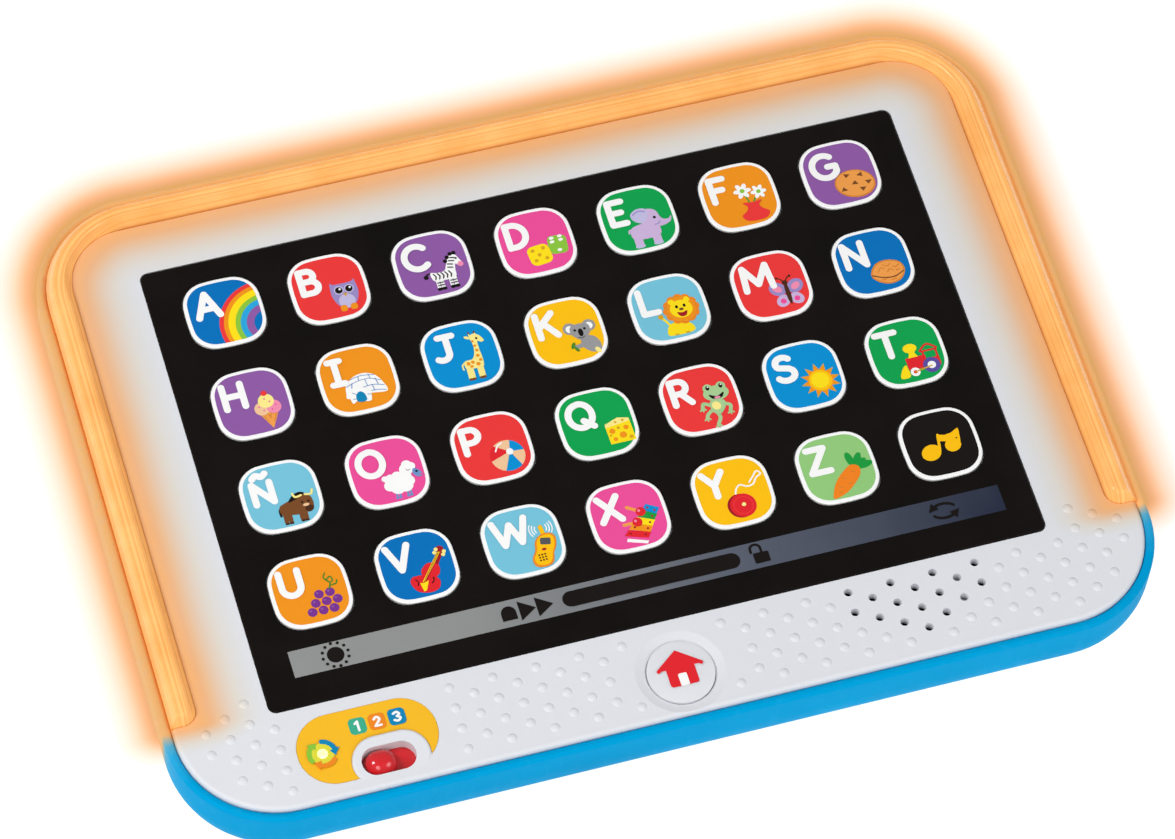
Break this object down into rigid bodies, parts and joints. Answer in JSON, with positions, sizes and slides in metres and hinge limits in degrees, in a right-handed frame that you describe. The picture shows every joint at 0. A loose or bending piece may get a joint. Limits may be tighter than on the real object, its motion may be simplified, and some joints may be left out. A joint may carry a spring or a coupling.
{
  "type": "electronic toy tablet",
  "caption": "Flat child's toy tablet: letter keys in a black panel, pimpled pale bezel, U-shaped light frame, home button, stage slider, speaker holes and blue shell.",
  "frame": {"origin": "on the table, under the middle of the body", "axes": "+X along the top edge to the right, +Y up the keypad, +Z out of the face"},
  "size_m": [0.251, 0.18, 0.0278],
  "materials": {
    "bezel_plastic": "fine matt, pale grey-white",
    "shell_plastic": "satin blue",
    "frame_clear": "clear milky plastic, lit orange",
    "panel_gloss": "gloss black",
    "label_yellow": "printed yellow film",
    "button_white": "satin white",
    "slider_red": "gloss red",
    "lens_clear": "clear, lit",
    "lamp": "lamp chip",
    "rubber_sheet": "grey silicone",
    "board_green": "solder mask",
    "component_black": "moulded",
    "steel": "plated",
    "switch_black": "moulded",
    "cone_paper": "paper",
    "magnet": "ground",
    "cell_wrap": "printed sleeve",
    "wire_jacket": "soft",
    "key_blue": "satin print",
    "key_red": "satin print",
    "key_purple": "satin print",
    "key_pink": "satin print",
    "key_green": "satin print",
    "key_orange": "satin print",
    "key_sky": "satin print",
    "key_yellow": "satin print",
    "key_light_blue": "satin print",
    "key_light_green": "satin print",
    "key_black": "satin print",
    "key_white": "satin white cap"
  },
  "bodies": {
    "case": {"battery_cells": "cell_wrap", "battery_contacts": "steel", "battery_springs": "steel", "battery_wires": "wire_jacket", "board_components": "component_black", "board_screws": "steel", "case_screws": "steel", "control_label": "label_yellow", "frame_led_strip": "board_green", "frame_leds": "lamp", "front_casing": "bezel_plastic", "indicator_led": "lamp", "indicator_lens": "lens_clear", "keypad_membrane": "rubber_sheet", "light_frame": "frame_clear", "main_circuit_board": "board_green", "power_switch_body": "steel", "rear_casing": "shell_plastic", "screen_overlay": "panel_gloss", "speaker_basket": "steel", "speaker_clamp": "switch_black", "speaker_cone": "cone_paper", "speaker_magnet": "magnet", "speaker_wires": "wire_jacket", "stage_switch_body": "steel"},
    "home_button": {"home_button": "button_white"},
    "stage_slider": {"stage_slider": "slider_red", "stage_switch_lever": "switch_black"},
    "power_slider": {"power_slider": "slider_red", "power_switch_lever": "switch_black"},
    "battery_door": {"battery_door": "shell_plastic"},
    "battery_door_screw": {"battery_door_screw": "steel"},
    "key_a": {"key_a": "key_white"},
    "key_b": {"key_b": "key_white"},
    "key_c": {"key_c": "key_white"},
    "key_d": {"key_d": "key_white"},
    "key_e": {"key_e": "key_white"},
    "key_f": {"key_f": "key_white"},
    "key_g": {"key_g": "key_white"},
    "key_h": {"key_h": "key_white"},
    "key_i": {"key_i": "key_white"},
    "key_j": {"key_j": "key_white"},
    "key_k": {"key_k": "key_white"},
    "key_l": {"key_l": "key_white"},
    "key_m": {"key_m": "key_white"},
    "key_n": {"key_n": "key_white"},
    "key_enye": {"key_enye": "key_white"},
    "key_o": {"key_o": "key_white"},
    "key_p": {"key_p": "key_white"},
    "key_q": {"key_q": "key_white"},
    "key_r": {"key_r": "key_white"},
    "key_s": {"key_s": "key_white"},
    "key_t": {"key_t": "key_white"},
    "key_u": {"key_u": "key_white"},
    "key_v": {"key_v": "key_white"},
    "key_w": {"key_w": "key_white"},
    "key_x": {"key_x": "key_white"},
    "key_y": {"key_y": "key_white"},
    "key_z": {"key_z": "key_white"},
    "key_notes": {"key_notes": "key_white"}
  },
  "joints": [
    {"name": "back_power_slide", "type": "slide", "parent": "case", "child": "power_slider", "axis": [1, 0, 0], "range_m": [0, 0.004]},
    {"name": "battery_door_lift", "type": "slide", "parent": "case", "child": "battery_door", "axis": [0, 0, -1], "range_m": [0, 0.035]},
    {"name": "battery_screw_turn", "type": "hinge", "parent": "battery_door", "child": "battery_door_screw", "pos_m": [0.0315, 0.0093, 0.001], "axis": [0, 0, 1], "continuous": true},
    {"name": "front_stage_slide", "type": "slide", "parent": "case", "child": "stage_slider", "axis": [1, 0, 0], "range_m": [0, 0.004]},
    {"name": "home_button_press", "type": "slide", "parent": "case", "child": "home_button", "axis": [0, 0, -1], "range_m": [0, 0.0009], "stiffness_N_per_m": 300, "springref_m": -0.002, "deforming": ["keypad_membrane"]},
    {"name": "key_a_press", "type": "slide", "parent": "case", "child": "key_a", "axis": [0, 0, -1], "range_m": [0, 0.0009], "stiffness_N_per_m": 300, "springref_m": -0.002, "deforming": ["keypad_membrane"]},
    {"name": "key_b_press", "type": "slide", "parent": "case", "child": "key_b", "axis": [0, 0, -1], "range_m": [0, 0.0009], "stiffness_N_per_m": 300, "springref_m": -0.002, "deforming": ["keypad_membrane"]},
    {"name": "key_c_press", "type": "slide", "parent": "case", "child": "key_c", "axis": [0, 0, -1], "range_m": [0, 0.0009], "stiffness_N_per_m": 300, "springref_m": -0.002, "deforming": ["keypad_membrane"]},
    {"name": "key_d_press", "type": "slide", "parent": "case", "child": "key_d", "axis": [0, 0, -1], "range_m": [0, 0.0009], "stiffness_N_per_m": 300, "springref_m": -0.002, "deforming": ["keypad_membrane"]},
    {"name": "key_e_press", "type": "slide", "parent": "case", "child": "key_e", "axis": [0, 0, -1], "range_m": [0, 0.0009], "stiffness_N_per_m": 300, "springref_m": -0.002, "deforming": ["keypad_membrane"]},
    {"name": "key_f_press", "type": "slide", "parent": "case", "child": "key_f", "axis": [0, 0, -1], "range_m": [0, 0.0009], "stiffness_N_per_m": 300, "springref_m": -0.002, "deforming": ["keypad_membrane"]},
    {"name": "key_g_press", "type": "slide", "parent": "case", "child": "key_g", "axis": [0, 0, -1], "range_m": [0, 0.0009], "stiffness_N_per_m": 300, "springref_m": -0.002, "deforming": ["keypad_membrane"]},
    {"name": "key_h_press", "type": "slide", "parent": "case", "child": "key_h", "axis": [0, 0, -1], "range_m": [0, 0.0009], "stiffness_N_per_m": 300, "springref_m": -0.002, "deforming": ["keypad_membrane"]},
    {"name": "key_i_press", "type": "slide", "parent": "case", "child": "key_i", "axis": [0, 0, -1], "range_m": [0, 0.0009], "stiffness_N_per_m": 300, "springref_m": -0.002, "deforming": ["keypad_membrane"]},
    {"name": "key_j_press", "type": "slide", "parent": "case", "child": "key_j", "axis": [0, 0, -1], "range_m": [0, 0.0009], "stiffness_N_per_m": 300, "springref_m": -0.002, "deforming": ["keypad_membrane"]},
    {"name": "key_k_press", "type": "slide", "parent": "case", "child": "key_k", "axis": [0, 0, -1], "range_m": [0, 0.0009], "stiffness_N_per_m": 300, "springref_m": -0.002, "deforming": ["keypad_membrane"]},
    {"name": "key_l_press", "type": "slide", "parent": "case", "child": "key_l", "axis": [0, 0, -1], "range_m": [0, 0.0009], "stiffness_N_per_m": 300, "springref_m": -0.002, "deforming": ["keypad_membrane"]},
    {"name": "key_m_press", "type": "slide", "parent": "case", "child": "key_m", "axis": [0, 0, -1], "range_m": [0, 0.0009], "stiffness_N_per_m": 300, "springref_m": -0.002, "deforming": ["keypad_membrane"]},
    {"name": "key_n_press", "type": "slide", "parent": "case", "child": "key_n", "axis": [0, 0, -1], "range_m": [0, 0.0009], "stiffness_N_per_m": 300, "springref_m": -0.002, "deforming": ["keypad_membrane"]},
    {"name": "key_enye_press", "type": "slide", "parent": "case", "child": "key_enye", "axis": [0, 0, -1], "range_m": [0, 0.0009], "stiffness_N_per_m": 300, "springref_m": -0.002, "deforming": ["keypad_membrane"]},
    {"name": "key_o_press", "type": "slide", "parent": "case", "child": "key_o", "axis": [0, 0, -1], "range_m": [0, 0.0009], "stiffness_N_per_m": 300, "springref_m": -0.002, "deforming": ["keypad_membrane"]},
    {"name": "key_p_press", "type": "slide", "parent": "case", "child": "key_p", "axis": [0, 0, -1], "range_m": [0, 0.0009], "stiffness_N_per_m": 300, "springref_m": -0.002, "deforming": ["keypad_membrane"]},
    {"name": "key_q_press", "type": "slide", "parent": "case", "child": "key_q", "axis": [0, 0, -1], "range_m": [0, 0.0009], "stiffness_N_per_m": 300, "springref_m": -0.002, "deforming": ["keypad_membrane"]},
    {"name": "key_r_press", "type": "slide", "parent": "case", "child": "key_r", "axis": [0, 0, -1], "range_m": [0, 0.0009], "stiffness_N_per_m": 300, "springref_m": -0.002, "deforming": ["keypad_membrane"]},
    {"name": "key_s_press", "type": "slide", "parent": "case", "child": "key_s", "axis": [0, 0, -1], "range_m": [0, 0.0009], "stiffness_N_per_m": 300, "springref_m": -0.002, "deforming": ["keypad_membrane"]},
    {"name": "key_t_press", "type": "slide", "parent": "case", "child": "key_t", "axis": [0, 0, -1], "range_m": [0, 0.0009], "stiffness_N_per_m": 300, "springref_m": -0.002, "deforming": ["keypad_membrane"]},
    {"name": "key_u_press", "type": "slide", "parent": "case", "child": "key_u", "axis": [0, 0, -1], "range_m": [0, 0.0009], "stiffness_N_per_m": 300, "springref_m": -0.002, "deforming": ["keypad_membrane"]},
    {"name": "key_v_press", "type": "slide", "parent": "case", "child": "key_v", "axis": [0, 0, -1], "range_m": [0, 0.0009], "stiffness_N_per_m": 300, "springref_m": -0.002, "deforming": ["keypad_membrane"]},
    {"name": "key_w_press", "type": "slide", "parent": "case", "child": "key_w", "axis": [0, 0, -1], "range_m": [0, 0.0009], "stiffness_N_per_m": 300, "springref_m": -0.002, "deforming": ["keypad_membrane"]},
    {"name": "key_x_press", "type": "slide", "parent": "case", "child": "key_x", "axis": [0, 0, -1], "range_m": [0, 0.0009], "stiffness_N_per_m": 300, "springref_m": -0.002, "deforming": ["keypad_membrane"]},
    {"name": "key_y_press", "type": "slide", "parent": "case", "child": "key_y", "axis": [0, 0, -1], "range_m": [0, 0.0009], "stiffness_N_per_m": 300, "springref_m": -0.002, "deforming": ["keypad_membrane"]},
    {"name": "key_z_press", "type": "slide", "parent": "case", "child": "key_z", "axis": [0, 0, -1], "range_m": [0, 0.0009], "stiffness_N_per_m": 300, "springref_m": -0.002, "deforming": ["keypad_membrane"]},
    {"name": "key_notes_press", "type": "slide", "parent": "case", "child": "key_notes", "axis": [0, 0, -1], "range_m": [0, 0.0009], "stiffness_N_per_m": 300, "springref_m": -0.002, "deforming": ["keypad_membrane"]}
  ]
}
